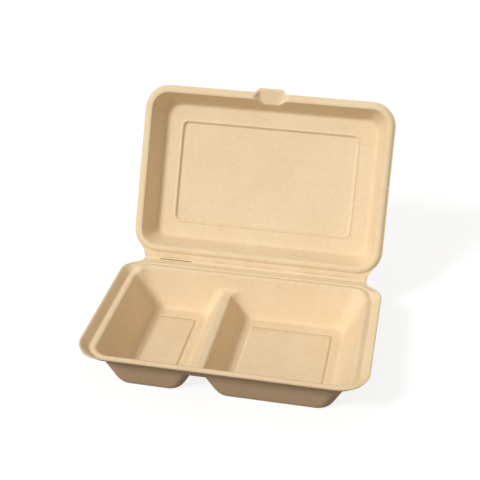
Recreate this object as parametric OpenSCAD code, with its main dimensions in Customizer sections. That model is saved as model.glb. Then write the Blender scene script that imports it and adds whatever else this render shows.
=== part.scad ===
// Two-compartment takeaway box with a hinged lid, pressed from one sheet of moulded pulp.
// Millimetres, +Z up, front at -Y. Drawn standing on its feet with the lid open.

/* [Tray] */
// Outer width across the lip
tray_width = 240; // [200:1:320]
// Outer depth across the lip
tray_depth = 164.5; // [140:0.5:220]
// Height from the feet to the top of the lip
tray_height = 39.5; // [34:0.5:60]
// Thickness of the pressed sheet
sheet = 0.8; // [0.6:0.05:1.1]
// Plan radius of the lip's corners
rim_corner_radius = 26; // [22:0.5:34]
// How far the foot of the left and right walls stands in from the lip
side_foot_inset = 29.9; // [22:0.1:36]
// How far the foot of the front and back walls stands in from the lip
end_foot_inset = 23.4; // [19:0.1:32]
// Radius between wall and floor
floor_fillet = 8; // [4:0.5:9]
// Plan radius of the outer corners at the floor
floor_corner_radius = 11; // [9:0.5:14]

/* [Collar and bead] */
// Flat width of the lip's top
lip_width = 1.3; // [0.8:0.1:2]
// Height from the lip down to the bottom of the groove
collar_drop = 5.7; // [4.5:0.1:8]
// Distance in from the lip to the bottom of the groove
groove_inset = 7.3; // [6.6:0.1:8.5]
// Rounding of the groove
groove_radius = 1.8; // [1:0.1:2.5]
// Distance in from the lip to the crest of the bead
bead_inset = 11.7; // [11:0.1:14]
// Height of the bead's crest above the groove
bead_rise = 0.9; // [0.4:0.1:1.6]
// Rounding of the bead
bead_radius = 2; // [1.2:0.1:2.6]

/* [Divider] */
// How far the divider stands to the left of the middle
divider_offset = 20; // [0:0.5:40]
// Height from the lip down to the divider's top
divider_drop = 16.5; // [12:0.5:24]
// Width of the divider's top, measured to the corners of its section
ridge_width = 8.2; // [6:0.1:16]
// Rounding of the divider's top edges
ridge_radius = 3.5; // [2:0.1:4]
// Width of the divider at the floor
divider_foot_width = 30.6; // [24:0.1:44]
// Plan radius where the divider meets the front and back walls
divider_corner_radius = 9; // [7:0.5:12]

/* [Floor panels] */
// Gap from the side of a compartment's floor to its raised panel
panel_side_gap = 10; // [7:0.1:14]
// Gap from the front and back of a compartment's floor to its raised panel
panel_end_gap = 13.4; // [8:0.1:20]
// Height of the raised panels above the floor's edge
panel_rise = 1; // [0.5:0.1:2]
// Width of the step around a panel
panel_step = 0.8; // [0.4:0.1:2]
// Plan radius of the panels' corners
panel_corner_radius = 3; // [2:0.5:6]

/* [Lid] */
// Gap between the lid's edge and the lip it drops inside
lid_gap = 3.75; // [3.4:0.05:5]
// Clearance between the closed lid's edge and the strip below it
seat_clearance = 0.3; // [0.2:0.05:0.6]
// Depth of the lid from its edge to the flat of its top
lid_height = 18.9; // [12:0.1:30]
// Flat width of the lid's edge
edge_width = 0.7; // [0.5:0.1:1]
// Depth of the lid's bead below its edge
lid_bead_depth = 2; // [1:0.1:2.2]
// Distance in to the outer corner of the lid's bead
bead_outer_inset = 2.2; // [2:0.1:2.6]
// Distance in to the inner corner of the lid's bead
bead_inner_inset = 5.4; // [4.6:0.1:6.5]
// Rounding of the bead's outer corner
bead_outer_radius = 1.5; // [1:0.1:1.8]
// Rounding of the bead's inner corner
bead_inner_radius = 2.2; // [1.2:0.1:2.4]
// How far the foot of the lid's walls stands in from its edge
lid_foot_inset = 15.4; // [10:0.1:24]
// Radius between the lid's walls and its top
lid_fillet = 8; // [4:0.5:10]
// Plan radius of the corners of the lid's flat top
lid_floor_corner_radius = 12; // [10:0.5:14]

/* [Lid panel] */
// Width of the lid's raised panel
lid_panel_width = 166; // [100:0.1:170]
// Depth of the lid's raised panel
lid_panel_depth = 93.7; // [50:0.1:100]
// Height of the panel above the lid's top
lid_panel_rise = 1.2; // [0.5:0.1:2]
// Width of the step around the panel
lid_panel_step = 1.6; // [0.6:0.1:3]
// Plan radius of the panel's corners
lid_panel_corner_radius = 5; // [3:0.5:10]

/* [Locking tab] */
// How far the tab reaches past the lid's edge
tab_reach = 4.2; // [3:0.1:6]
// Width of the tab at its tip
tab_tip_width = 23; // [16:0.5:30]
// Width of the tab where it leaves the lid's edge
tab_root_width = 29; // [24:0.5:34]
// Height of the tab's underside above the lid's edge
tab_lift = 2.35; // [2.2:0.05:3]
// Width of the tab's hollow at the lid's edge
hollow_mouth_width = 18; // [14:0.5:20]
// Width of the tab's hollow where it is widest
hollow_middle_width = 24; // [21:0.5:28]
// Width of the tab's hollow at its inner end
hollow_end_width = 13; // [9:0.5:16]
// Distance in from the lid's edge to where the hollow is widest
hollow_middle_inset = 5.6; // [5:0.1:7]
// Distance in from the lid's edge to the hollow's inner end
hollow_end_inset = 12; // [11:0.1:14]
// Height of the hollow's inner end above the lid's edge
hollow_end_height = 9.3; // [7:0.1:12]
// Slant of the hollow's sides, as width gained for each millimetre of depth
hollow_side_slant = 0.9; // [0.5:0.1:1.5]

/* [Hinge strip] */
// Drop of the strip and the back lip below the rest of the lip
strip_drop = 2.35; // [2:0.05:3]
// Distance from the back lip to the crease the lid turns on
strip_reach = 2.5; // [2:0.1:5]
// How far the strip's ends stand in from the lip at the crease
strip_end_inset = 15.5; // [13:0.5:24]
// Thickness of the pressed strip
strip_thickness = 0.6; // [0.5:0.05:0.7]
// Gap left along the crease
crease_gap = 0.2; // [0.1:0.05:0.3]
// Depth of the folding lines pressed into the strip
score_depth = 0.2; // [0.1:0.05:0.3]
// Width of the folding lines
score_width = 0.5; // [0.3:0.1:0.8]
// Distance from the crease to the folding line on the lid's side
lid_score_reach = 2.2; // [1:0.1:3]
// Length of the slit in the crease
slit_length = 30; // [10:1:40]
// Width of the slit in the crease
slit_width = 0.5; // [0.3:0.1:0.8]
// Distance from the middle to the middle of the slit
slit_offset = 74.4; // [20:0.1:80]

/* [Pose] */
// Angle the lid stands open, from closed
open_angle = 115.4; // [0:0.1:180]

/* [Hidden] */
corner_steps = 8;
bend_steps = 4;
fillet_steps = 6;
tuck = 0.04;
strip_half_width = tray_width / 2 - strip_end_inset;
floor_top = sheet - tray_height;
ledge = -divider_drop;
crest = bead_rise - collar_drop;
crease_y = tray_depth / 2 + strip_reach;
strip_top = -strip_drop - 0.05;
lid_seat = -strip_drop + seat_clearance;
axis_z = (strip_top + lid_seat + 0.05) / 2;
lid_half_width = tray_width / 2 - lid_gap;
lid_half_depth = tray_depth / 2 - lid_gap;
lid_corner_radius = rim_corner_radius - lid_gap;
lid_top = lid_height + lid_panel_rise + sheet;
chute_reach = lid_foot_inset + 10.6;
rim_radii = [0.9, groove_radius, bead_radius];
divider_run = (divider_foot_width - ridge_width) / 2 / (ledge - floor_top);
divider_angle = atan(divider_run);
lid_run = (lid_foot_inset - bead_inner_inset) / (lid_height + lid_bead_depth);
lid_angle = atan(lid_run);
lid_radii = [0.5, bead_outer_radius, bead_inner_radius, lid_fillet];
// Where the open lid's outer surface lies from front to back, turned about the crease
turned = function(y, h) crease_y + (y - crease_y) * cos(open_angle)
    + (h + lid_seat - axis_z) * sin(open_angle);
lid_reaches = concat([turned(-lid_half_depth - tab_reach, tab_lift + sheet), crease_y],
    [turned(-lid_panel_depth / 2 + lid_panel_step, lid_top)],
    [for (p = lid_section(1)) each
        [turned(-lid_half_depth + p[0], p[1]), turned(lid_half_depth - p[0], p[1])]]);
shift_y = (max(tray_depth / 2, -min(lid_reaches)) - max(lid_reaches)) / 2;
shift_z = tray_height;

// Helpers for points in a section or in plan
function unit(v) = v / norm(v);
function left_of(d) = [-d[1], d[0]];
function turn_sign(a, b, c) = sign((b[0] - a[0]) * (c[1] - b[1]) - (b[1] - a[1]) * (c[0] - b[0]));
function mix(a, b, t) = a + (b - a) * t;
function bound(v, low, high) = min(max(v, low), high);
function ease(t) = t * t * (3 - 2 * t);

// Points of the bend of radius r that replaces the corner b of a, b, c
function bend(a, b, c, r, n) =
    let (u = unit(a - b), w = unit(c - b), half = acos(bound(u * w, -1, 1)) / 2,
        centre = b + unit(u + w) * r / sin(half), start = b + u * r / tan(half) - centre,
        sweep = (180 - 2 * half) * turn_sign(a, b, c))
    [for (i = [0:n]) let (q = sweep * i / n)
        centre + [start[0] * cos(q) - start[1] * sin(q), start[0] * sin(q) + start[1] * cos(q)]];

// An open path with its inner corners bent to the given radii
function bent_path(path, radii, n) = concat(
    [path[0]],
    [for (k = [1:len(path) - 2]) each bend(path[k - 1], path[k], path[k + 1], radii[k - 1], n)],
    [path[len(path) - 1]]);

// The same path moved sideways by t, to the left of its direction
function moved_path(path, t) = let (last = len(path) - 1) [for (k = [0:last])
    let (before = left_of(unit(path[max(k, 1)] - path[max(k, 1) - 1])),
        after = left_of(unit(path[min(k, last - 1) + 1] - path[min(k, last - 1)])))
    path[k] + (before + after) * t / (1 + before * after)];
function moved_radii(path, radii, t) = [for (k = [1:len(path) - 2])
    radii[k - 1] - t * turn_sign(path[k - 1], path[k], path[k + 1])];

// One ring in plan, anticlockwise: side points lie at height side_z, front and back points at end_z,
// and the back may be dropped by sag
function corner(cx, cy, r, from, side_z, end_z, sag) = [for (i = [0:corner_steps])
    let (q = from + 90 * i / corner_steps, f = abs(sin(q)))
    [cx + r * cos(q), cy + r * sin(q),
        mix(side_z, end_z, f * f) - (sin(q) > 0 ? sag * ease(min(1, f * f / 0.6)) : 0)]];
function ring(x0, x1, y0, y1, r_left, r_right, side_z, end_z, sag) = concat(
    corner(x1 - r_right, y0 + r_right, r_right, -90, side_z, end_z, sag),
    corner(x1 - r_right, y1 - r_right, r_right, 0, side_z, end_z, sag),
    corner(x0 + r_left, y1 - r_left, r_left, 90, side_z, end_z, sag),
    corner(x0 + r_left, y0 + r_left, r_left, 180, side_z, end_z, sag));

// A closed solid through rings that run from its lower end to its upper end
module loft(rings) {
    m = len(rings[0]);
    k = len(rings);
    polyhedron(
        points = [for (r = rings) each r],
        faces = concat(
            [[for (i = [0:m - 1]) i]],
            [for (j = [0:k - 2], i = [0:m - 1]) each
                let (a = j * m + i, b = j * m + (i + 1) % m, c = a + m, d = b + m)
                [[a, c, d], [a, d, b]]],
            [[for (i = [m - 1:-1:0]) (k - 1) * m + i]]),
        convexity = 12);
}

// Tray walls: run is the sideways travel for each millimetre down
function wall_run(foot) = (foot - bead_inset) / (crest - floor_top);
function wall_angle(foot) = atan(wall_run(foot));
// Foot and floor of the inner surface, or of the outer one when skin is 1
function skin_foot(foot, skin) = foot - skin * sheet * tan((90 - wall_angle(foot)) / 2);
function skin_floor(skin) = floor_top - skin * sheet;
function wall_inset(foot, z, skin) = skin_foot(foot, skin) - (z - skin_floor(skin)) * wall_run(foot);
// The same with the floor's fillet, at height z
function foot_inset(foot, z, skin) =
    let (a = wall_angle(foot), r = floor_fillet + skin * sheet, cz = skin_floor(skin) + r,
        cx = skin_foot(foot, skin) + r * tan((90 - a) / 2))
    z >= cz - r * sin(a) ? wall_inset(foot, z, skin) : cx - sqrt(max(0, r * r - (cz - z) * (cz - z)));
function wall_radius(z, skin) =
    mix(floor_corner_radius, rim_corner_radius - bead_inset,
        (z - skin_floor(skin)) / (crest - floor_top)) + skin * sheet;

// Section of the rim from the lip inwards to the wall at the divider's height
function rim_corners(foot) = [[0, 0], [lip_width, 0], [groove_inset, -collar_drop],
    [bead_inset, crest], [foot, floor_top]];
function rim_section(foot, skin) =
    let (full = rim_corners(foot), moved = moved_path(full, -skin * sheet),
        stop = ledge - skin * sheet,
        cut = [for (k = [0:3]) moved[k]], end = [wall_inset(foot, stop, skin), stop])
    bent_path(concat(cut, [end]), moved_radii(concat(cut, [end]), rim_radii, -skin * sheet), bend_steps);
function rim_radius(inset, z, skin) = inset <= bead_inset ? rim_corner_radius - inset
    : wall_radius(z, skin) + (wall_inset(side_foot_inset, z, skin) - inset) / 2
        + (wall_inset(end_foot_inset, z, skin) - inset) / 2;
function rim_ring(side, end, skin) =
    let (sag = strip_drop * bound((groove_inset - side[0]) / (groove_inset - lip_width), 0, 1),
        r = rim_radius((side[0] + end[0]) / 2, (side[1] + end[1]) / 2, skin))
    ring(-tray_width / 2 + side[0], tray_width / 2 - side[0], -tray_depth / 2 + end[0],
        tray_depth / 2 - end[0], r, r, side[1], end[1], sag);
function basin_rings(skin) =
    let (side = rim_section(side_foot_inset, skin), end = rim_section(end_foot_inset, skin))
    [for (k = [len(side) - 1:-1:0]) rim_ring(side[k], end[k], skin)];
function flat_ring(grow, z) = ring(-tray_width / 2 - grow, tray_width / 2 + grow,
    -tray_depth / 2 - grow, tray_depth / 2 + grow, rim_corner_radius + grow, rim_corner_radius + grow,
    z, z, 0);

// Everything below the outer surface, up to just above the lip
module basin_outside() {
    loft(concat(basin_rings(1), [flat_ring(0, 1)]));
}
// Everything above the inner surface
module basin_inside() {
    side = rim_section(side_foot_inset, 0);
    loft(concat(basin_rings(0),
        [rim_ring([-3, 0], [-3, 0], 0), flat_ring(3, 4)]));
}

// Divider's half width at height z, with its rounded top edge and its fillet at the floor
function ridge_shift(skin) = skin * sheet * tan((90 - divider_angle) / 2);
function divider_line(z, skin) = divider_foot_width / 2 - ridge_shift(skin)
    - (z - skin_floor(skin)) * divider_run;
function divider_half(z, skin) =
    let (a = divider_angle, top = ledge - skin * sheet, rt = ridge_radius - skin * sheet,
        rf = floor_fillet + skin * sheet, foot = divider_foot_width / 2 - ridge_shift(skin),
        ct = ridge_width / 2 - ridge_shift(skin) - rt * tan((90 - a) / 2),
        cf = foot + rf * tan((90 - a) / 2), zt = top - rt, zf = skin_floor(skin) + rf)
    z >= zt + rt * sin(a) ? ct + sqrt(max(0, rt * rt - (z - zt) * (z - zt)))
    : z >= zf - rf * sin(a) ? divider_line(z, skin)
    : cf - sqrt(max(0, rf * rf - (zf - z) * (zf - z)));

// Heights of a compartment's rings, from the floor up
function pocket_levels(skin) =
    let (rt = ridge_radius - skin * sheet, rf = floor_fillet + skin * sheet,
        top = ledge - skin * sheet, low = skin_floor(skin), shallow = wall_angle(end_foot_inset))
    concat(
        [for (i = [0:fillet_steps]) low + rf * (1 - sin(90 - (90 - shallow) * i / fillet_steps))],
        [for (i = [0:bend_steps]) top - rt * (1 - sin(divider_angle + (90 - divider_angle) * i / bend_steps))]);

// One ring of a compartment: part is -1 for the left one and 1 for the right one
function pocket_ring(part, z, skin, inward) =
    let (side = foot_inset(side_foot_inset, z, skin) + inward,
        end = foot_inset(end_foot_inset, z, skin) + inward,
        half = divider_half(z, skin) + (inward > tuck ? inward : 0),
        extra = side - inward - wall_inset(side_foot_inset, z, skin),
        r_wall = wall_radius(z, skin) - extra,
        r_split = divider_corner_radius + skin * sheet + divider_line(z, skin) - divider_half(z, skin),
        outer = tray_width / 2 - side)
    part < 0
    ? ring(-outer, -divider_offset - half, -tray_depth / 2 + end, tray_depth / 2 - end,
        r_wall, r_split, z, z, 0)
    : ring(-divider_offset + half, outer, -tray_depth / 2 + end, tray_depth / 2 - end,
        r_split, r_wall, z, z, 0);
function panel_ring(part, grow, z) =
    let (side = side_foot_inset + panel_side_gap - grow, end = end_foot_inset + panel_end_gap - grow,
        half = divider_foot_width / 2 + panel_side_gap - grow, r = panel_corner_radius + grow,
        outer = tray_width / 2 - side)
    part < 0
    ? ring(-outer, -divider_offset - half, -tray_depth / 2 + end, tray_depth / 2 - end, r, r, z, z, 0)
    : ring(-divider_offset + half, outer, -tray_depth / 2 + end, tray_depth / 2 - end, r, r, z, z, 0);
module pocket(part, skin) {
    low = skin_floor(skin);
    levels = pocket_levels(skin);
    loft(concat(
        [panel_ring(part, -panel_step, low + panel_rise), panel_ring(part, 0, low)],
        [for (z = levels) pocket_ring(part, z, skin, tuck)],
        [pocket_ring(part, ledge - skin * sheet, skin, 1.2)]));
}

// Plan of the hinge strip between the crease and an edge whose corners have radius r, with the
// waist at the crease: reach is the distance from the crease to that edge
function waist_radius(half_width, r, reach) =
    let (dx = strip_half_width - half_width + r, dy = reach + r)
    (dx * dx + dy * dy - r * r) / 2 / (r - dx);
function strip_side(half_width, r, reach) =
    let (w = waist_radius(half_width, r, reach), dx = strip_half_width + w - half_width + r,
        dy = reach + r, end = atan2(dy, dx))
    [for (i = [0:6]) let (q = end * i / 6)
        [strip_half_width + w - w * cos(q), -w * sin(q)]];
function strip_plan(half_width, r, reach, grip) =
    let (side = strip_side(half_width, r, reach), cx = half_width - r,
        turn = atan2(side[6][1] + reach + r, side[6][0] - cx),
        root = [for (i = [0:5]) let (q = mix(turn, 90, i / 5))
            [cx + (r - grip) * cos(q), (r - grip) * sin(q) - reach - r]],
        right = concat([for (p = side) [p[0], min(p[1], -crease_gap / 2)]], root))
    concat(right, [for (i = [len(right) - 1:-1:0]) [-right[i][0], right[i][1]]]);

module tray_strip() {
    difference() {
        translate([0, crease_y, strip_top - strip_thickness])
            linear_extrude(strip_thickness)
                polygon(strip_plan(tray_width / 2, rim_corner_radius, strip_reach, lip_width - 0.3));
        translate([-slit_offset - slit_length / 2, crease_y - crease_gap / 2 - slit_width, strip_top - 2])
            cube([slit_length, slit_width + 1, 3]);
    }
}

module tray() {
    color([0.86, 0.75, 0.60])
    translate([0, shift_y, shift_z])
    union() {
        difference() {
            union() {
                basin_outside();
                pocket(-1, 1);
                pocket(1, 1);
            }
            basin_inside();
            pocket(-1, 0);
            pocket(1, 0);
        }
        tray_strip();
    }
}

// Lid, drawn closed: heights are measured up from its edge
function lid_corners() = [[0, 0], [edge_width, 0], [bead_outer_inset, -lid_bead_depth],
    [bead_inner_inset, -lid_bead_depth], [lid_foot_inset, lid_height],
    [lid_foot_inset + lid_fillet, lid_height]];
function lid_section(skin) =
    let (moved = moved_path(lid_corners(), skin * sheet),
        radii = moved_radii(lid_corners(), lid_radii, skin * sheet))
    bent_path(moved, radii, bend_steps);
function lid_radius(inset, h) =
    let (level = bound((h + lid_bead_depth) / (lid_height + lid_bead_depth), 0, 1),
        line = bead_inner_inset + lid_run * (h + lid_bead_depth))
    inset <= bead_inner_inset ? lid_corner_radius - inset
    : mix(lid_corner_radius - bead_inner_inset, lid_floor_corner_radius, level)
        - max(0, inset - line) + max(0, line - inset);
function lid_ring(inset, h) =
    let (r = lid_radius(inset, h))
    ring(-lid_half_width + inset, lid_half_width - inset, -lid_half_depth + inset,
        lid_half_depth - inset, r, r, h, h, 0);
function lid_panel_ring(grow, h) =
    let (x = lid_panel_width / 2 + grow, y = lid_panel_depth / 2 + grow, r = lid_panel_corner_radius + grow)
    ring(-x, x, -y, y, r, r, h, h, 0);
// The space under a surface of the lid, inner when skin is 0 and outer when it is 1
module lid_body(skin) {
    section = lid_section(skin);
    last = len(section) - 2;
    top = lid_height + skin * sheet;
    loft(concat(
        skin == 1 ? [lid_ring(0, -4)] : [lid_ring(-9, -7), lid_ring(-9, 0)],
        [for (k = [0:last]) lid_ring(section[k][0], section[k][1])],
        [lid_panel_ring(0, top), lid_panel_ring(-lid_panel_step, top + lid_panel_rise)]));
}

// A closed solid with the same outline at several heights: each outline is [x, y] points
function lift(outline, h) = [for (p = outline) [p[0], p[1], h]];
function hollow_outline(grow, out) =
    let (front = -lid_half_depth)
    [[-hollow_mouth_width / 2 - grow, front - out], [hollow_mouth_width / 2 + grow, front - out],
        [hollow_middle_width / 2 + grow, front + hollow_middle_inset],
        [hollow_end_width / 2 + 3 + grow, front + hollow_end_inset + 4],
        [-(hollow_end_width / 2 + 3 + grow), front + hollow_end_inset + 4],
        [-hollow_middle_width / 2 - grow, front + hollow_middle_inset]];
function chute_outline(width, inset) =
    let (front = -lid_half_depth)
    [[-width / 2, front + inset], [width / 2, front + inset],
        [width / 2, front + chute_reach], [-width / 2, front + chute_reach]];
module tab_outside() {
    slant = hollow_side_slant;
    wide = hollow_middle_width - 1.4;
    loft([lift(hollow_outline(sheet + slant * (tab_lift + 4), 0), -4),
        lift(hollow_outline(sheet, 0), tab_lift + sheet)]);
    loft([lift(chute_outline(wide + 2 * sheet, hollow_middle_inset - 0.5), 1),
        lift(chute_outline(wide + 2 * sheet, hollow_middle_inset - 0.5), tab_lift + sheet),
        lift(chute_outline(hollow_end_width + 2 * sheet, hollow_end_inset - 0.5), hollow_end_height + sheet)]);
    translate([0, 0, tab_lift])
        linear_extrude(sheet)
            polygon([[-tab_tip_width / 2, -lid_half_depth - tab_reach],
                [tab_tip_width / 2, -lid_half_depth - tab_reach],
                [tab_root_width / 2, -lid_half_depth + 0.4],
                [hollow_middle_width / 2, -lid_half_depth + hollow_middle_inset],
                [-hollow_middle_width / 2, -lid_half_depth + hollow_middle_inset],
                [-tab_root_width / 2, -lid_half_depth + 0.4]]);
}
module tab_inside() {
    slant = hollow_side_slant;
    wide = hollow_middle_width - 1.4;
    loft([lift(hollow_outline(slant * (tab_lift + 6), 9), -6),
        lift(hollow_outline(0, 9), tab_lift)]);
    loft([lift(chute_outline(wide, hollow_middle_inset), 1),
        lift(chute_outline(wide, hollow_middle_inset), tab_lift),
        lift(chute_outline(hollow_end_width, hollow_end_inset), hollow_end_height)]);
}

module lid_strip() {
    reach = strip_reach + lid_gap;
    translate([0, crease_y, 0.05])
        difference() {
            linear_extrude(strip_thickness)
                polygon(strip_plan(lid_half_width, lid_corner_radius, reach, edge_width));
            translate([-tray_width / 2, -lid_score_reach - score_width / 2, -1])
                cube([tray_width, score_width, 1 + score_depth]);
        }
}

module lid() {
    color([0.93, 0.84, 0.70])
    translate([0, shift_y, shift_z])
    translate([0, crease_y, axis_z])
    rotate([-open_angle, 0, 0])
    translate([0, -crease_y, lid_seat - axis_z])
    union() {
        difference() {
            union() {
                lid_body(1);
                tab_outside();
            }
            lid_body(0);
            tab_inside();
        }
        lid_strip();
    }
}

tray();
lid();
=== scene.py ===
import bpy
import math
from mathutils import Matrix, Vector


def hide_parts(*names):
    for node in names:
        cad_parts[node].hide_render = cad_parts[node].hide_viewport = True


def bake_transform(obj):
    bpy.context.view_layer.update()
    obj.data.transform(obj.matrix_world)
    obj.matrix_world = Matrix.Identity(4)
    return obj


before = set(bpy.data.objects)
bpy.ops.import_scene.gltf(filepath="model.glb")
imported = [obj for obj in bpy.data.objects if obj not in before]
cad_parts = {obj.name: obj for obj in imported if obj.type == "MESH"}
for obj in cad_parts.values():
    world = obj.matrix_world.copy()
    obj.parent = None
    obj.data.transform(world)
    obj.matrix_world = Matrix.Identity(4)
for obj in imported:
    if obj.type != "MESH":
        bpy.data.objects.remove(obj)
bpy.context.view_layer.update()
print("frame loaded")

# The box is pressed as one flat-open sheet, then the lid folds up along the crease. Millimetres.
traySheet = {
    "width": 240.0, "depth": 164.5, "floorDrop": 38.7, "cornerRadius": 26.0,
    "lipWidth": 1.7, "lipRound": 2.0, "edgeCurl": 0.5, "edgeCurlWidth": 1.1,
    "grooveInset": 7.6, "grooveDrop": 6.5, "grooveRise": 0.36, "grooveRound": 1.2,
    "beadInset": 13.6, "beadDrop": 5.3, "beadCorner": 14.3,
    "sideFoot": 29.9, "endFoot": 23.4, "floorCorner": 11.0, "cornerDrawIn": 1.4,
    "dividerX": -20.0, "dividerDrop": 16.5,
    "ridgeHalf": 4.1, "ridgeFoot": 15.3, "ridgeCorner": 9.0, "ridgeRound": 1.2,
    "panelSideGap": 10.0, "panelEndGap": 13.4, "panelRise": 1.3, "panelStep": 1.5, "panelCorner": 3.0,
    "panelGroove": 0.3, "panelGrooveFrom": -1.9, "panelGrooveTo": 0.3,
    "backDrop": 2.35, "backRise": 4.4, "backRiseFrom": 1.5, "backRiseRun": 5.0,
    "backFallFrom": 11.0, "backFallRun": 13.0, "backCorner": 0.6,
}
lidSheet = {
    "gap": 3.75, "floorDrop": 18.9, "foot": 15.4, "floorCorner": 12.0,
    "edgeWidth": 0.6, "edgeRound": 0.35, "beadRise": 2.3, "beadOuter": 3.0, "beadInner": 6.8, "beadRound": 2.0,
    "panelHalfX": 83.0, "panelHalfY": 46.85, "panelStep": 1.4, "panelSink": 2.0, "panelCorner": 5.2,
    "panelRidge": 0.8, "panelRidgeFrom": -2.1, "panelRidgeTo": 0.4,
    "tabReach": 4.2, "tabTipHalf": 11.2, "tabRootHalf": 14.5, "tabLift": 2.35, "tabX": 0.4, "tabBend": 2.0,
    "hollowFrom": -2.1, "hollowMouthHalf": 10.8, "hollowMiddleHalf": 12.2, "hollowMiddleInset": 4.2,
    "hollowSlope": 0.3, "hollowNarrowing": 0.42, "hollowDraft": 0.7, "hollowRound": 0.6, "hollowRim": 0.7,
}
foldStrip = {
    "creaseY": 84.75, "axisHeight": -2.2, "edgeHeight": -2.35, "waistInset": 15.5,
    "openAngle": 115.4, "bendHalf": 0.7, "slitFrom": -89.5, "slitTo": -59.5, "slitAt": 0.71,
    "slitHalf": 0.05, "blendHalf": 0.5,
}
toFrame = Vector((0.0, -41.2378, 39.5))   # from the sheet's own place to the frame
lidCentreY = foldStrip["creaseY"] * 2
lidHalfX = traySheet["width"] / 2 - lidSheet["gap"]
lidHalfY = traySheet["depth"] / 2 - lidSheet["gap"]
lidCorner = traySheet["cornerRadius"] - lidSheet["gap"]


def toward(a, b, share):
    return a + (b - a) * share


# Stations across the sheet, close together where the form turns: (from, to, step)
def stations(parts):
    values = []
    for start, end, step in parts:
        count = max(1, round((end - start) / step))
        values += [start + (end - start) * i / count for i in range(count)]
    return values + [parts[-1][1]]


acrossStations = stations([
    (-82.0, -76.0, 0.5), (-76.0, -62, 4.6), (-62, -46.8, 3.8), (-46.8, -43.4, 0.43), (-43.4, -36, 1.9),
    (-36, -14.5, 1.25), (-14.5, 3.4, 1.2), (3.4, 6.8, 0.43), (6.8, 14.5, 1.3), (14.5, 20, 1.8),
    (20, 76.0, 5.0), (76.0, 82.0, 0.5)])
alongTray = stations([(-47.4, -44.0, 0.43), (-44.0, 44.0, 4.9), (44.0, 47.4, 0.43)])
alongLid = stations([(-48.8, -42.3, 0.5), (-42.3, 42.3, 5.2), (42.3, 48.8, 0.5)])
stillAcross, stillAlong = 62, 40   # stations within these stay, those outside draw in where a ring is short
lidReach = 85.0          # where the outermost station lies on the lid
ringMargin = 0.4         # from the outermost station to the start of a corner
cornerSteps = 14
cornerFirst = 9          # the steps round a corner before the fold strip's root


def waistBow(halfWidth, radius, reach):
    # radius of the strip's hollow end, and the angle round the corner at which it leaves the lip
    dx = traySheet["width"] / 2 - foldStrip["waistInset"] - halfWidth + radius
    dy = reach + radius
    bow = (dx * dx + dy * dy - radius * radius) / 2 / (radius - dx)
    return bow, math.atan2(dy, dx + bow)


def cornerAngles(turn):
    rest = cornerSteps - cornerFirst
    return [turn * i / cornerFirst for i in range(cornerFirst)] + \
        [turn + (math.pi / 2 - turn) * i / rest for i in range(rest + 1)]


def drawn(values, reach, still):
    # moves the outermost station to reach, and those between it and the still ones in proportion
    top = max(values)
    return [math.copysign(still + (abs(v) - still) * (reach - still) / (top - still), v)
            if abs(v) > still else v for v in values]


def ringPoints(halfX, halfY, radius, turn, across, along):
    # anticlockwise from the front left corner's end
    angles = cornerAngles(turn)
    cx, cy = halfX - radius, halfY - radius
    across = drawn(across, min(max(across), cx - ringMargin), stillAcross)
    along = drawn(along, min(max(along), cy - ringMargin), stillAlong)

    def arc(sx, sy, values):
        return [(sx * (cx + radius * math.cos(a)), sy * (cy + radius * math.sin(a))) for a in values]
    back = angles[::-1]
    return ([(x, -halfY) for x in across] + arc(1, -1, back) + [(halfX, y) for y in along]
            + arc(1, 1, angles) + [(x, halfY) for x in across[::-1]] + arc(-1, 1, back)
            + [(-halfX, y) for y in along[::-1]] + arc(-1, -1, angles))


class Sheet:
    # the flat mesh that is pressed: points in millimetres, and faces
    def __init__(self):
        self.points, self.faces = [], []

    def add(self, ring, dy=0.0):
        start = len(self.points)
        self.points += [(x, y + dy, 0.0) for x, y in ring]
        return list(range(start, len(self.points)))

    def join(self, outer, inner, closed=True):
        for i in range(len(outer) if closed else len(outer) - 1):
            k = (i + 1) % len(outer)
            self.faces.append((outer[i], outer[k], inner[k], inner[i]))


def fillCentre(sheet, ring, nAcross, nAlong):
    # a grid inside the last ring; its corners are the middles of the ring's corners
    mid = cornerSteps // 2
    total = len(ring)
    start = -(cornerSteps + 1 - mid)
    wide = nAcross + 2 * (cornerSteps + 1 - mid)
    tall = nAlong + 2 * (mid + 1)
    loop = [ring[(start + i) % total] for i in range(total)]
    front = loop[:wide]
    right = loop[wide - 1:wide - 1 + tall]
    back = loop[wide + tall - 2:2 * wide + tall - 2][::-1]
    left = (loop[2 * wide + tall - 3:] + [loop[0]])[::-1]
    p = sheet.points
    x0, x1 = p[front[0]][0], p[front[-1]][0]
    y0, y1 = p[left[0]][1], p[left[-1]][1]
    rows = [front]
    for j in range(1, tall - 1):
        row = [left[j]]
        v = (p[left[j]][1] - y0) / (y1 - y0)
        for i in range(1, wide - 1):
            u = (p[front[i]][0] - x0) / (x1 - x0)
            x, y = [(1 - v) * p[front[i]][k] + v * p[back[i]][k] + (1 - u) * p[left[j]][k]
                    + u * p[right[j]][k] - ((1 - v) * ((1 - u) * (x0, y0)[k] + u * (x1, y0)[k])
                    + v * ((1 - u) * (x0, y1)[k] + u * (x1, y1)[k])) for k in (0, 1)]
            sheet.points.append((x, y, 0.0))
            row.append(len(sheet.points) - 1)
        rows.append(row + [right[j]])
    rows.append(back)
    for low, high in zip(rows, rows[1:]):
        sheet.join(low, high, closed=False)


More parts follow.
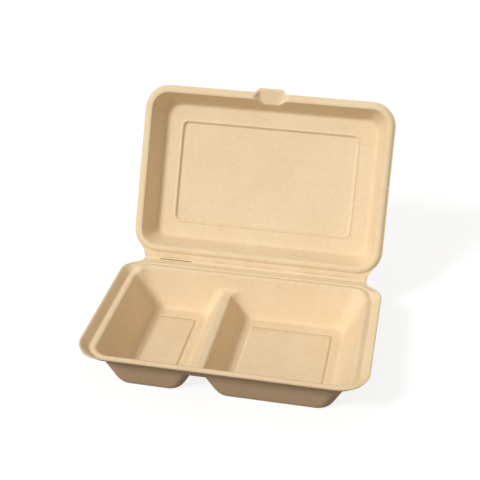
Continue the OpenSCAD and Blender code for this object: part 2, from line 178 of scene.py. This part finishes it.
def layTray(sheet):
    t = traySheet
    bow, turn = waistBow(t["width"] / 2, t["cornerRadius"], foldStrip["creaseY"] - t["depth"] / 2)
    depth = t["floorDrop"] - t["beadDrop"]
    rimInsets = (0, 0.4, 0.8, 1.3, 1.9, 2.8, 3.8, 4.8, 5.6, 6.3, 6.9, 7.5, 8.2, 9.1, 10.0, 10.9, 11.8, 12.4)
    wallDrops = (0.5, 1.3, 2.4, 4, 6, 7.8, 9.2, 10.4, 11.5, 12.6, 14, 16, 18.5, 21, 23, 24.8, 26.4, 27.9,
                 29.2, 30.5, 31.8, 33, depth)
    floorInsets = (0.8, 1.8, 3, 4.4, 6)
    rows = [(i, i, t["cornerRadius"] - i) for i in rimInsets]
    for drop in wallDrops:
        starts = (t["beadInset"], t["beadInset"], t["beadCorner"])
        ends = (t["sideFoot"], t["endFoot"], t["floorCorner"])
        rows.append(tuple(toward(start, end, drop / depth) for start, end in zip(starts, ends)))
    rows += [(t["sideFoot"] + i, t["endFoot"] + i, t["floorCorner"] - i * t["cornerDrawIn"]) for i in floorInsets]
    rings = [sheet.add(ringPoints(t["width"] / 2 - side, t["depth"] / 2 - end, radius, turn,
                                  acrossStations, alongTray)) for side, end, radius in rows]
    for outer, inner in zip(rings, rings[1:]):
        sheet.join(outer, inner)
    fillCentre(sheet, rings[-1], len(acrossStations), len(alongTray))
    n = len(acrossStations)
    first = n + (cornerSteps + 1) + len(alongTray) + cornerFirst
    count = n + 2 * (cornerSteps + 1 - cornerFirst)
    return rings[0][first:first + count], bow


def layLid(sheet):
    t = lidSheet
    bow, turn = waistBow(lidHalfX, lidCorner, foldStrip["creaseY"] - traySheet["depth"] / 2 + t["gap"])
    across = drawn(acrossStations, lidReach, stillAcross)
    rimInsets = (0, 0.35, 0.7, 1.2, 1.8, 2.4, 3.0, 3.7, 4.5, 5.4, 6.2, 6.7)
    wallShares = (0.0, 0.05, 0.11, 0.19, 0.28, 0.38, 0.48, 0.58, 0.68, 0.77, 0.85, 0.92, 1.0)
    floorInsets = (0.9, 2, 3.3, 4.8, 6.6)
    beadCorner = lidCorner - t["beadInner"]
    rows = [(i, lidCorner - i) for i in rimInsets]
    rows += [(toward(t["beadInner"], t["foot"], f), toward(beadCorner, t["floorCorner"], f))
             for f in wallShares]
    rows += [(t["foot"] + i, t["floorCorner"] - i) for i in floorInsets]
    rings = [sheet.add(ringPoints(lidHalfX - i, lidHalfY - i, r, turn, across, alongLid), lidCentreY)
             for i, r in rows]
    for outer, inner in zip(rings, rings[1:]):
        sheet.join(outer, inner)
    fillCentre(sheet, rings[-1], len(across), len(alongLid))
    total, n = len(rings[0]), len(across)
    rest = cornerSteps + 1 - cornerFirst
    near = [rings[0][(k - rest) % total] for k in range(n + 2 * rest)]
    # the tongue goes out from the far edge
    far = rings[0][n + 2 * (cornerSteps + 1) + len(alongLid):][:n][::-1]
    root = [i for i in far if abs(sheet.points[i][0]) <= t["tabRootHalf"] + 0.01]
    last = root
    tip = ((0.6, 1), (1.3, 1), (2.0, 1), (2.7, 1), (3.3, 0.99), (3.75, 0.97), (t["tabReach"], 0.925))
    for out, rounding in tip:
        ratio = (1 + (t["tabTipHalf"] / t["tabRootHalf"] - 1) * out / t["tabReach"]) * rounding
        line = sheet.add([(sheet.points[i][0] * ratio, lidHalfY + out) for i in root], lidCentreY)
        sheet.join(last, line, closed=False)
        last = line
    return near, bow


def layStrip(sheet, trayEdge, lidEdge, trayBow, lidBow):
    # both edges run the same way from here: left to right
    trayEdge = trayEdge[::-1]
    crease = foldStrip["creaseY"]
    half = traySheet["width"] / 2 - foldStrip["waistInset"]
    p = sheet.points

    def line(edge, bow, share, sign):
        reach = abs(p[edge[0]][1] - crease)
        tangent = abs(p[edge[0]][0])
        out = []
        for i in edge:
            dy = abs(p[i][1] - crease) * share
            x = half + bow - math.sqrt(bow * bow - (reach * share) ** 2)
            out.append((p[i][0] * x / tangent, crease + sign * dy))
        return sheet.add(out)
    span = lidCentreY - lidHalfY - crease
    slit, slitHalf = foldStrip["slitAt"] / span, foldStrip["slitHalf"] / span
    nearShares = (0.85, 0.7, 0.55, 0.4, 0.28, 0.17, 0.06)
    farShares = (0.02, 0.066, slit - slitHalf, slit + slitHalf, 0.17, 0.25, 0.36, 0.48, 0.6, 0.73, 0.87)
    lines = [trayEdge] + [line(trayEdge, trayBow, f, -1) for f in nearShares]
    lines += [line(lidEdge, lidBow, f, 1) for f in farShares] + [lidEdge]
    slitRow = 1 + len(nearShares) + farShares.index(slit - slitHalf)
    for k, (low, high) in enumerate(zip(lines, lines[1:])):
        for i in range(len(low) - 1):
            x = (p[low[i]][0] + p[low[i + 1]][0]) / 2
            if k == slitRow and foldStrip["slitFrom"] < x < foldStrip["slitTo"]:
                continue                      # the slit stays open
            sheet.faces.append((low[i], low[i + 1], high[i + 1], high[i]))


def flatSheet():
    sheet = Sheet()
    trayEdge, trayBow = layTray(sheet)
    lidEdge, lidBow = layLid(sheet)
    layStrip(sheet, trayEdge, lidEdge, trayBow, lidBow)
    mesh = bpy.data.meshes.new("flatSheet")
    mesh.from_pydata(sheet.points, [], sheet.faces)
    mesh.validate()
    mesh.update()
    return mesh


# A number in a node tree that can be written into a formula
class Amount:
    def __init__(self, tree, socket):
        self.tree, self.socket = tree, socket

    def maths(self, operation, *others):
        node = self.tree.nodes.new("ShaderNodeMath")
        node.operation = operation
        for i, value in enumerate((self,) + others):
            if isinstance(value, Amount):
                self.tree.links.new(value.socket, node.inputs[i])
            else:
                node.inputs[i].default_value = value
        return Amount(self.tree, node.outputs[0])

    def __add__(self, other):
        return self.maths("ADD", other)

    def __sub__(self, other):
        return self.maths("SUBTRACT", other)

    def __mul__(self, other):
        return self.maths("MULTIPLY", other)

    def __truediv__(self, other):
        return self.maths("DIVIDE", other)

    def __rsub__(self, other):
        return (self * -1) + other

    __radd__, __rmul__ = __add__, __mul__

    def size(self):
        return self.maths("ABSOLUTE")

    def root(self):
        return self.maths("SQRT")

    def least(self, other):
        return self.maths("MINIMUM", other)

    def most(self, other):
        return self.maths("MAXIMUM", other)

    def softLeast(self, other, blend):
        return self.maths("SMOOTH_MIN", other, blend)

    def softMost(self, other, blend):
        return self.maths("SMOOTH_MAX", other, blend)

    def above(self, other):
        return self.maths("GREATER_THAN", other)

    def ease(self):
        t = self.most(0.0).least(1.0)
        return t * t * (3 - 2 * t)

    def hump(self, start, end):
        # nothing outside start and end, one halfway
        t = ((self - start) * (1 / (end - start))).most(0.0).least(1.0)
        wave = t * (1 - t) * 4
        return wave * wave


def insetFrom(ax, ay, halfX, halfY, radius):
    # distance in from the outline of a rounded rectangle
    qx, qy = ax - (halfX - radius), ay - (halfY - radius)
    px, py = qx.most(0.0), qy.most(0.0)
    return radius - ((px * px + py * py).root() + qx.most(qy).least(0.0)), px, py


def wallBelow(ax, ay, halfX, halfY, radius, runX, runY, runR):
    # depth of a drafted wall whose corners keep their own radius
    x0, y0 = ax - (halfX - radius), ay - (halfY - radius)
    p, q = runX - runR, runY - runR
    a = p * p + q * q - runR * runR
    b = x0 * p + y0 * q + radius * runR
    c = x0 * x0 + y0 * y0 - radius * radius
    corner = ((b * b - c * a).most(0.0).root() - b) * (1 / a)
    plane = ((halfX - ax) * (1 / runX)).least((halfY - ay) * (1 / runY))
    inCorner = (x0 + corner * p).above(0.0) * (y0 + corner * q).above(0.0)
    return toward(plane, corner, inCorner)


def trayHeight(x, y, amount):
    t = traySheet
    ax, ay = x.size(), y.size()
    inset, px, py = insetFrom(ax, ay, t["width"] / 2, t["depth"] / 2, t["cornerRadius"])
    slope = t["grooveDrop"] / (t["grooveInset"] - t["lipWidth"])
    lip = ((inset - t["lipWidth"]) * -slope).softLeast(0.0, t["lipRound"])
    bank = ((inset - t["grooveInset"]) * t["grooveRise"] - t["grooveDrop"]) \
        .softLeast(-t["beadDrop"], t["grooveRound"])
    rim = lip.softMost(bank, amount["Groove blend"])
    depth = t["floorDrop"] - t["beadDrop"]
    wall = wallBelow(ax, ay, t["width"] / 2 - t["beadInset"], t["depth"] / 2 - t["beadInset"],
                     t["beadCorner"], (t["sideFoot"] - t["beadInset"]) / depth,
                     (t["endFoot"] - t["beadInset"]) / depth, (t["beadCorner"] - t["floorCorner"]) / depth)
    inner = rim.softLeast(wall * -1 - t["beadDrop"], amount["Bead blend"])
    # the divider's ridge, its corners with the end walls rounded too
    away = (x - t["dividerX"]).size()
    run = (t["ridgeFoot"] - t["ridgeHalf"]) / (t["floorDrop"] - t["dividerDrop"])
    halfTop = (t["dividerDrop"] - t["beadDrop"]) * run - t["ridgeHalf"]
    cut = wallBelow(away * -1, ay, halfTop, t["depth"] / 2 - t["beadInset"], t["ridgeCorner"],
                    run, (t["endFoot"] - t["beadInset"]) / depth, 0.0)
    ridge = (cut * -1 - t["beadDrop"]).softLeast(-t["dividerDrop"], amount["Ridge blend"])
    height = inner.softMost(ridge, t["ridgeRound"]).softMost(-t["floorDrop"], amount["Fillet blend"])
    # raised panels in both floors
    side = t["width"] / 2 - t["sideFoot"] - t["panelSideGap"]
    reach = t["ridgeFoot"] + t["panelSideGap"]
    for near in (t["dividerX"] - reach, t["dividerX"] + reach):
        far = math.copysign(side, near - t["dividerX"])
        panel, _, _ = insetFrom((x - (near + far) / 2).size(), ay, abs(far - near) / 2,
                                t["depth"] / 2 - t["endFoot"] - t["panelEndGap"], t["panelCorner"])
        height = height + (panel / t["panelStep"]).ease() * t["panelRise"] \
            - panel.hump(t["panelGrooveFrom"], t["panelGrooveTo"]) * t["panelGroove"]
    # the lip comes down at the back, where the strip leaves it, and its groove is shallower there
    ends = ((py * py) / (px * px + py * py + 0.0001) / t["backCorner"]).ease()
    outside = ((t["grooveInset"] - inset) / (t["grooveInset"] - t["lipWidth"])).most(0.0).least(1.0)
    raised = ((inset - t["backRiseFrom"]) / t["backRiseRun"]).ease() \
        * (1 - ((inset - t["backFallFrom"]) / t["backFallRun"]).ease())
    curl = (1 - inset / t["edgeCurlWidth"]).most(0.0)
    return height + ends * y.above(0.0) * (raised * t["backRise"] - outside * t["backDrop"]) \
        - curl * curl * (1 - ends) * t["edgeCurl"]


def lidHeight(x, yLocal, amount):
    t = lidSheet
    ax, ay = x.size(), yLocal.size()
    inset, _, _ = insetFrom(ax, ay, lidHalfX, lidHalfY, lidCorner)
    steep = t["beadRise"] / (t["beadOuter"] - t["edgeWidth"])
    rim = ((inset - t["edgeWidth"]) * steep).softMost(0.0, t["edgeRound"]) \
        .softLeast(t["beadRise"], t["beadRound"])
    depth = t["floorDrop"] + t["beadRise"]
    run = (t["foot"] - t["beadInner"]) / depth
    beadCorner = lidCorner - t["beadInner"]
    wall = wallBelow(ax, ay, lidHalfX - t["beadInner"], lidHalfY - t["beadInner"], beadCorner,
                     run, run, (beadCorner - t["floorCorner"]) / depth)
    height = rim.softLeast(wall * -1 + t["beadRise"], amount["Lid bead blend"])
    height = height.softMost(-t["floorDrop"], amount["Lid fillet blend"])
    panel, _, _ = insetFrom(ax, ay, t["panelHalfX"], t["panelHalfY"], t["panelCorner"])
    height = height - (panel / t["panelStep"]).ease() * t["panelSink"] \
        + panel.hump(t["panelRidgeFrom"], t["panelRidgeTo"]) * t["panelRidge"]
    # the hollow scooped out behind the tongue
    inward = lidHalfY - yLocal
    middle, mouth, start = t["hollowMiddleHalf"], t["hollowMouthHalf"], t["hollowFrom"]
    widening = (middle - mouth) / (t["hollowMiddleInset"] - start)
    along = (inward - start).most(0.0)
    width = (along * widening + mouth) \
        .least((inward - t["hollowMiddleInset"]) * -t["hollowNarrowing"] + middle)
    chute = along * t["hollowSlope"] + t["tabLift"]
    scoop = ((width - (x - t["tabX"]).size()) / t["hollowDraft"] + t["tabLift"]) \
        .softLeast(chute, t["hollowRound"])
    height = height.softLeast(scoop * -1, t["hollowRim"])
    tongue = (inward / -t["tabBend"]).ease() * (t["tabLift"] - scoop.most(0.0).least(t["tabLift"]))
    return height - tongue


def pressTree():
    tree = bpy.data.node_groups.new("pressSheet", "GeometryNodeTree")
    face = tree.interface
    face.new_socket("Geometry", in_out="INPUT", socket_type="NodeSocketGeometry")
    settings = {"Groove blend": 1.5, "Bead blend": 1.8, "Ridge blend": 2.6, "Fillet blend": 8.4,
                "Lid bead blend": 2.2, "Lid fillet blend": 7.5, "Wave height": 0.16, "Wave length": 34.0,
                "Grain height": 0.03, "Grain length": 3.2, "Fold angle": 180 - foldStrip["openAngle"]}
    for name, value in settings.items():
        face.new_socket(name, in_out="INPUT", socket_type="NodeSocketFloat").default_value = value
    face.new_socket("Pulp", in_out="INPUT", socket_type="NodeSocketMaterial")
    face.new_socket("Geometry", in_out="OUTPUT", socket_type="NodeSocketGeometry")
    nodes, links = tree.nodes, tree.links
    source = nodes.new("NodeGroupInput")
    amount = {name: Amount(tree, source.outputs[name]) for name in settings}
    place = nodes.new("GeometryNodeInputPosition")
    split = nodes.new("ShaderNodeSeparateXYZ")
    links.new(place.outputs[0], split.inputs[0])
    x, y = Amount(tree, split.outputs[0]), Amount(tree, split.outputs[1])
    onLid = y.above(foldStrip["creaseY"])
    lidSide = lidHeight(x, y - lidCentreY, amount) + foldStrip["edgeHeight"]
    height = toward(trayHeight(x, y, amount), lidSide, onLid)

    def ripple(length, seed):
        node = nodes.new("ShaderNodeTexNoise")
        node.noise_dimensions = "4D"
        node.inputs["W"].default_value = seed
        node.inputs["Detail"].default_value = 2.0
        links.new(place.outputs[0], node.inputs["Vector"])
        links.new(length.maths("POWER", -1.0).socket, node.inputs["Scale"])
        return Amount(tree, node.outputs[0]) - 0.5

    height = height + ripple(amount["Wave length"], 3.0) * amount["Wave height"] * 2 \
        + ripple(amount["Grain length"], 7.0) * amount["Grain height"] * 2
    # fold: points past the crease turn about it
    past = (y - (foldStrip["creaseY"] - foldStrip["bendHalf"])) * (1 / (2 * foldStrip["bendHalf"]))
    angle = past.ease() * amount["Fold angle"] * (math.pi / 180)
    dy, dz = y - foldStrip["creaseY"], height - foldStrip["axisHeight"]
    cosine, sine = angle.maths("COSINE"), angle.maths("SINE")
    foldedY = dy * cosine - dz * sine + (foldStrip["creaseY"] + toFrame.y)
    foldedZ = dy * sine + dz * cosine + (foldStrip["axisHeight"] + toFrame.z)
    join = nodes.new("ShaderNodeCombineXYZ")
    for i, value in enumerate((x * 0.001, foldedY * 0.001, foldedZ * 0.001)):
        links.new(value.socket, join.inputs[i])
    store = nodes.new("GeometryNodeStoreNamedAttribute")
    store.data_type, store.domain = "FLOAT", "POINT"
    store.inputs["Name"].default_value = "foldDistance"
    links.new(source.outputs["Geometry"], store.inputs["Geometry"])
    links.new(dy.socket, store.inputs["Value"])
    move = nodes.new("GeometryNodeSetPosition")
    links.new(store.outputs[0], move.inputs["Geometry"])
    links.new(join.outputs[0], move.inputs["Position"])
    real = nodes.new("GeometryNodeRealizeInstances")
    links.new(move.outputs[0], real.inputs[0])
    paint = nodes.new("GeometryNodeSetMaterial")
    links.new(real.outputs[0], paint.inputs["Geometry"])
    links.new(source.outputs["Pulp"], paint.inputs["Material"])
    result = nodes.new("NodeGroupOutput")
    links.new(paint.outputs[0], result.inputs["Geometry"])
    return tree


def plainMesh(obj, name):
    # what the modifiers make, as a mesh of its own
    graph = bpy.context.evaluated_depsgraph_get()
    mesh = bpy.data.meshes.new_from_object(obj.evaluated_get(graph), preserve_all_data_layers=True,
                                           depsgraph=graph)
    mesh.name = name
    result = bpy.data.objects.new(name, mesh)
    bpy.context.scene.collection.objects.link(result)
    bpy.data.objects.remove(obj)
    return result


# Short ways to write a material's nodes
class Paint:
    def __init__(self, name):
        self.material = bpy.data.materials.new(name)
        self.material.use_nodes = True
        self.nodes, self.links = self.material.node_tree.nodes, self.material.node_tree.links
        self.shader = self.nodes["Principled BSDF"]
        self.place = self.nodes.new("ShaderNodeTexCoord").outputs["Object"]

    def attribute(self, name):
        node = self.nodes.new("ShaderNodeAttribute")
        node.attribute_name = name
        return Amount(self.material.node_tree, node.outputs["Fac"])

    def axis(self, index):
        node = self.nodes.new("ShaderNodeSeparateXYZ")
        self.links.new(self.place, node.inputs[0])
        return Amount(self.material.node_tree, node.outputs[index])

    def noise(self, scale, detail=2.0, rough=0.5, stretch=(1, 1, 1), turn=(0, 0, 0), twist=0.0):
        mapping = self.nodes.new("ShaderNodeMapping")
        mapping.inputs["Scale"].default_value = stretch
        mapping.inputs["Rotation"].default_value = turn
        self.links.new(self.place, mapping.inputs[0])
        node = self.nodes.new("ShaderNodeTexNoise")
        node.inputs["Scale"].default_value = scale
        node.inputs["Detail"].default_value = detail
        node.inputs["Roughness"].default_value = rough
        node.inputs["Distortion"].default_value = twist
        self.links.new(mapping.outputs[0], node.inputs["Vector"])
        return Amount(self.material.node_tree, node.outputs[0])

    def spread(self, amount, low, high, a=0.0, b=1.0):
        node = self.nodes.new("ShaderNodeMapRange")
        for name, value in (("From Min", low), ("From Max", high), ("To Min", a), ("To Max", b)):
            node.inputs[name].default_value = value
        self.links.new(amount.socket, node.inputs["Value"])
        return Amount(self.material.node_tree, node.outputs[0])

    def mix(self, a, b, share):
        node = self.nodes.new("ShaderNodeMix")
        node.data_type = "RGBA"
        for socket, value in ((node.inputs["A"], a), (node.inputs["B"], b)):
            if isinstance(value, tuple):
                socket.default_value = (*value, 1)
            else:
                self.links.new(value, socket)
        self.links.new(share.socket, node.inputs["Factor"])
        return node.outputs["Result"]

    def bump(self, height, strength, distance, below=None):
        node = self.nodes.new("ShaderNodeBump")
        node.inputs["Strength"].default_value = strength
        node.inputs["Distance"].default_value = distance
        self.links.new(height.socket, node.inputs["Height"])
        if below:
            self.links.new(below, node.inputs["Normal"])
        return node.outputs[0]


# Moulded pulp: matt tan fibre, finely mottled, smooth inside and marked by the forming screen outside
pulpLook = {
    "base": (0.785, 0.630, 0.416), "deep": (0.62, 0.44, 0.26), "pale": (0.85, 0.72, 0.52),
    # outer: the outside painted darker and browner, painted shade of the shaded outer walls
    "fleck": (0.42, 0.27, 0.14), "nub": (0.95, 0.85, 0.68), "outer": (0.50, 0.353, 0.22),
    "creaseShade": (0.52, 0.36, 0.19), "slitShade": (0.20, 0.12, 0.06), "slitWidth": 0.5, "slitFade": 0.3,
    "roughness": 0.84, "specular": 0.25, "bump": 0.3, "screenPitch": 1.15, "screenDepth": 0.16,
    # creases beside the fold, darkened with painted shade: distance past it and strength
    "creases": ((-3.6, 0.5), (-1.5, 1.0), (2.7, 1.0), (4.6, 0.5)), "creaseWidth": 0.5,
    # small marks of the photographed box: x, distance past the crease, radius and strength
    "paleMarks": ((115.3, 87.1, 1.3, 1.0), (61.9, 162.5, 1.4, 1.0), (-55.4, -166.2, 1.3, 1.0)),
    "darkMarks": ((25.9, 113.5, 0.7, 0.7), (-60.7, -38.6, 0.9, 0.6), (75.9, -165.8, 1.2, 1.0)),
}


def pulpMaterial():
    look = pulpLook
    paint = Paint("mouldedPulp")
    paint.shader.inputs["Specular IOR Level"].default_value = look["specular"]
    clouds = paint.spread(paint.noise(26, 3.0, 0.55), 0.4, 0.72, 0.0, 0.4)
    mottle = paint.spread(paint.noise(230, 3.0, 0.65), 0.5, 0.8, 0.0, 0.3)
    colour = paint.mix(paint.mix(look["base"], look["pale"], clouds), look["deep"], mottle)
    # fibres lying every way
    fibreA = paint.noise(900, 2.0, 0.6, (1, 0.16, 0.5), (0.3, 0.2, 0.6), 1.5)
    fibreB = paint.noise(900, 2.0, 0.6, (0.16, 1, 0.5), (0.1, 0.4, 0.9), 1.5)
    colour = paint.mix(colour, look["pale"], paint.spread(fibreA, 0.56, 0.75, 0.0, 0.4))
    colour = paint.mix(colour, look["deep"], paint.spread(fibreB, 0.58, 0.78, 0.0, 0.28))
    flecks = paint.nodes.new("ShaderNodeTexVoronoi")
    flecks.inputs["Scale"].default_value = 210
    paint.links.new(paint.place, flecks.inputs["Vector"])
    spot = paint.spread(Amount(paint.material.node_tree, flecks.outputs["Distance"]), 0.05, 0.11, 0.6, 0.0)
    colour = paint.mix(colour, look["fleck"], spot * paint.spread(paint.noise(90, 1.0), 0.6, 0.66))
    # pressed creases beside the fold line, darkened with painted shade, and the open slit, painted dark as its
    # shadow
    fold = paint.attribute("foldDistance")
    across = paint.axis(0) * 1000
    wander = paint.noise(60, 2.0) * 0.9 - 0.45
    lines = sum((1 - (fold + wander * 0.5 - crease).size() / look["creaseWidth"]).ease() * depth
                for crease, depth in look["creases"])
    lines = lines * paint.spread(paint.noise(45, 2.0), 0.35, 0.6, 0.35, 1.0)
    colour = paint.mix(colour, look["creaseShade"], lines * 0.6)
    # painted shade: the whole outer side is painted darker and browner than the inside
    outer = paint.attribute("outerSide")
    colour = paint.mix(colour, look["outer"], outer)

    def spots(marks):
        total = 0
        for x, past, radius, strength in marks:
            dx, df = across - x, fold - past
            total += (1 - (dx * dx + df * df).root() / radius).ease() * strength
        return total

    colour = paint.mix(colour, look["fleck"], spots(look["darkMarks"]))
    colour = paint.mix(colour, look["nub"], spots(look["paleMarks"]))
    # painted shadow: a narrow band along the slit is painted dark brown for its shaded cut faces
    fromSlit = (fold - foldStrip["slitAt"]).size()
    slitShadow = ((look["slitWidth"] - fromSlit) / look["slitFade"]).ease() \
        * across.above(foldStrip["slitFrom"]) * (across * -1).above(-foldStrip["slitTo"])
    colour = paint.mix(colour, look["slitShade"], slitShadow)
    paint.links.new(colour, paint.shader.inputs["Base Color"])
    rough = paint.spread(paint.noise(220, 3.0), 0.3, 0.7, look["roughness"] - 0.08, look["roughness"] + 0.1)
    paint.links.new(rough.socket, paint.shader.inputs["Roughness"])
    normal = paint.bump(paint.noise(1400, 3.0, 0.65), look["bump"], 0.0002)
    normal = paint.bump(fibreA, look["bump"] * 0.8, 0.0003, normal)
    normal = paint.bump(lines * -1, 0.8, 0.0004, normal)
    # the weave of the forming screen, on the outer side only
    wave = [(paint.axis(i) * (2000 * math.pi / look["screenPitch"])).maths("SINE") for i in (0, 1, 2)]
    weave = (wave[0] * wave[1]).most(wave[0] * wave[2]) * outer
    normal = paint.bump(weave, look["screenDepth"], 0.0003, normal)
    paint.links.new(normal, paint.shader.inputs["Normal"])
    return paint.material


def markOuterSide(mesh):
    # one on the side that faced the screen, nothing on the smooth side
    lean = math.radians(180 - foldStrip["openAngle"])
    lidUp = Vector((0, -math.sin(lean), math.cos(lean)))
    fold = mesh.attributes["foldDistance"].data
    values = []
    for face in mesh.polygons:
        onLid = fold[face.vertices[0]].value > 0
        facing = face.normal.dot(lidUp) if onLid else face.normal.z
        values.append(1.0 if facing < sheetFinish["outsideLean"] else 0.0)   # the cut edge is outside too
    mesh.attributes.new("outerSide", "FLOAT", "FACE").data.foreach_set("value", values)


# The sheet's thickness and its rounded edges, millimetres and degrees; outsideLean tells the sides apart
sheetFinish = {"thickness": 0.8, "edgeRound": 0.2, "edgeAngle": 55.0, "outsideLean": 0.15}


def makeBox():
    pulp = pulpMaterial()
    flat = bpy.data.objects.new("flatSheet", flatSheet())
    bpy.context.scene.collection.objects.link(flat)
    press = flat.modifiers.new("press", "NODES")
    press.node_group = pressTree()
    for item in press.node_group.interface.items_tree:
        if item.in_out == "INPUT" and item.name == "Pulp":
            press[item.identifier] = pulp
    thick = flat.modifiers.new("thickness", "SOLIDIFY")
    thick.thickness = sheetFinish["thickness"] * 0.001
    thick.offset = -1
    thick.use_even_offset = True
    edge = flat.modifiers.new("softEdge", "BEVEL")
    edge.width = sheetFinish["edgeRound"] * 0.001
    edge.segments = 2
    edge.limit_method = "ANGLE"
    edge.angle_limit = math.radians(sheetFinish["edgeAngle"])
    box = plainMesh(flat, "pulpBox")
    box.data.shade_smooth()
    markOuterSide(box.data)
    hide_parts("tray", "lid")
    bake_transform(box)
    print("box pressed:", len(box.data.polygons), "faces")


makeBox()

# A pale floor that the camera sees as white, and soft light from the upper left
studio = {
    "floor": 0.32, "floorSeen": 0.2, "floorGlow": 0.76, "floorHalf": 6,
    "worldStrength": 0.48, "worldTint": (1.0, 0.91, 0.80),
    "keyStrength": 2.25, "keyFrom": (-0.48, -0.61, 0.63), "keyAngle": 12.0,
}


def rayShare(nodes, links, seen, unseen):
    # one shader for what the camera sees straight or in a gloss, another for the light that surfaces get
    rays = nodes.new("ShaderNodeLightPath")
    share = rays.outputs["Is Camera Ray"]
    for name in ("Is Glossy Ray", "Is Transmission Ray"):
        either = nodes.new("ShaderNodeMath")
        either.operation = "MAXIMUM"
        links.new(share, either.inputs[0])
        links.new(rays.outputs[name], either.inputs[1])
        share = either.outputs[0]
    pick = nodes.new("ShaderNodeMixShader")
    links.new(share, pick.inputs[0])
    links.new(unseen, pick.inputs[1])
    links.new(seen, pick.inputs[2])
    return pick.outputs[0]


def makeStage():
    mesh = bpy.data.meshes.new("floor")
    h = studio["floorHalf"]
    mesh.from_pydata([(-h, -h, 0), (h, -h, 0), (h, h, 0), (-h, h, 0)], [], [(0, 1, 2, 3)])
    floor = bpy.data.objects.new("floor", mesh)
    bpy.context.scene.collection.objects.link(floor)
    paint = bpy.data.materials.new("floorPaint")
    paint.use_nodes = True
    nodes, links = paint.node_tree.nodes, paint.node_tree.links
    nodes.remove(nodes["Principled BSDF"])
    matt = nodes.new("ShaderNodeBsdfDiffuse")
    matt.inputs["Color"].default_value = (*[studio["floor"]] * 3, 1)
    shaded = nodes.new("ShaderNodeBsdfDiffuse")
    shaded.inputs["Color"].default_value = (*[studio["floorSeen"]] * 3, 1)
    glow = nodes.new("ShaderNodeEmission")
    glow.inputs["Strength"].default_value = 1 - studio["floorSeen"] * studio["floorGlow"]
    both = nodes.new("ShaderNodeAddShader")
    links.new(shaded.outputs[0], both.inputs[0])
    links.new(glow.outputs[0], both.inputs[1])
    surface = rayShare(nodes, links, both.outputs[0], matt.outputs[0])
    links.new(surface, nodes["Material Output"].inputs["Surface"])
    mesh.materials.append(paint)
    world = bpy.data.worlds.new("studio")
    bpy.context.scene.world = world
    world.use_nodes = True
    nodes, links = world.node_tree.nodes, world.node_tree.links
    sky, white = nodes["Background"], nodes.new("ShaderNodeBackground")
    sky.inputs["Color"].default_value = (*studio["worldTint"], 1)
    sky.inputs["Strength"].default_value = studio["worldStrength"]
    white.inputs["Color"].default_value = (1, 1, 1, 1)
    surface = rayShare(nodes, links, white.outputs[0], sky.outputs[0])
    links.new(surface, nodes["World Output"].inputs["Surface"])
    lamp = bpy.data.lights.new("key", "SUN")
    lamp.energy = studio["keyStrength"]
    lamp.angle = math.radians(studio["keyAngle"])
    sun = bpy.data.objects.new("key", lamp)
    sun.rotation_euler = Vector(studio["keyFrom"]).to_track_quat("Z", "Y").to_euler()
    bpy.context.scene.collection.objects.link(sun)
    print("stage and light ready")


makeStage()

# The camera of the photograph: place in millimetres, angles in degrees, focal length in pixels of 480
view = {
    "place": (138.66, -760.28, 528.34), "azimuth": 10.705, "elevation": 29.402, "roll": 0.858,
    "focal": 1025.5, "pixels": 480, "sensor": 36.0,
}


def makeCamera():
    a, e, r = [math.radians(view[k]) for k in ("azimuth", "elevation", "roll")]
    back = Vector((math.sin(a) * math.cos(e), -math.cos(a) * math.cos(e), math.sin(e)))
    right = Vector((0, 0, 1)).cross(back).normalized()
    up = back.cross(right)
    right, up = math.cos(r) * right + math.sin(r) * up, math.cos(r) * up - math.sin(r) * right
    data = bpy.data.cameras.new("photoView")
    data.sensor_width = view["sensor"]
    data.lens = view["focal"] * view["sensor"] / view["pixels"]
    data.clip_start, data.clip_end = 0.02, 30
    camera = bpy.data.objects.new("photoView", data)
    matrix = Matrix((right, up, back)).transposed().to_4x4()
    matrix.translation = Vector(view["place"]) * 0.001
    camera.matrix_world = matrix
    bpy.context.scene.collection.objects.link(camera)
    bpy.context.scene.camera = camera
    print("camera ready")


makeCamera()
bpy.context.scene.view_settings.view_transform = "Standard"
bpy.context.view_layer.update()


print("scene ready")
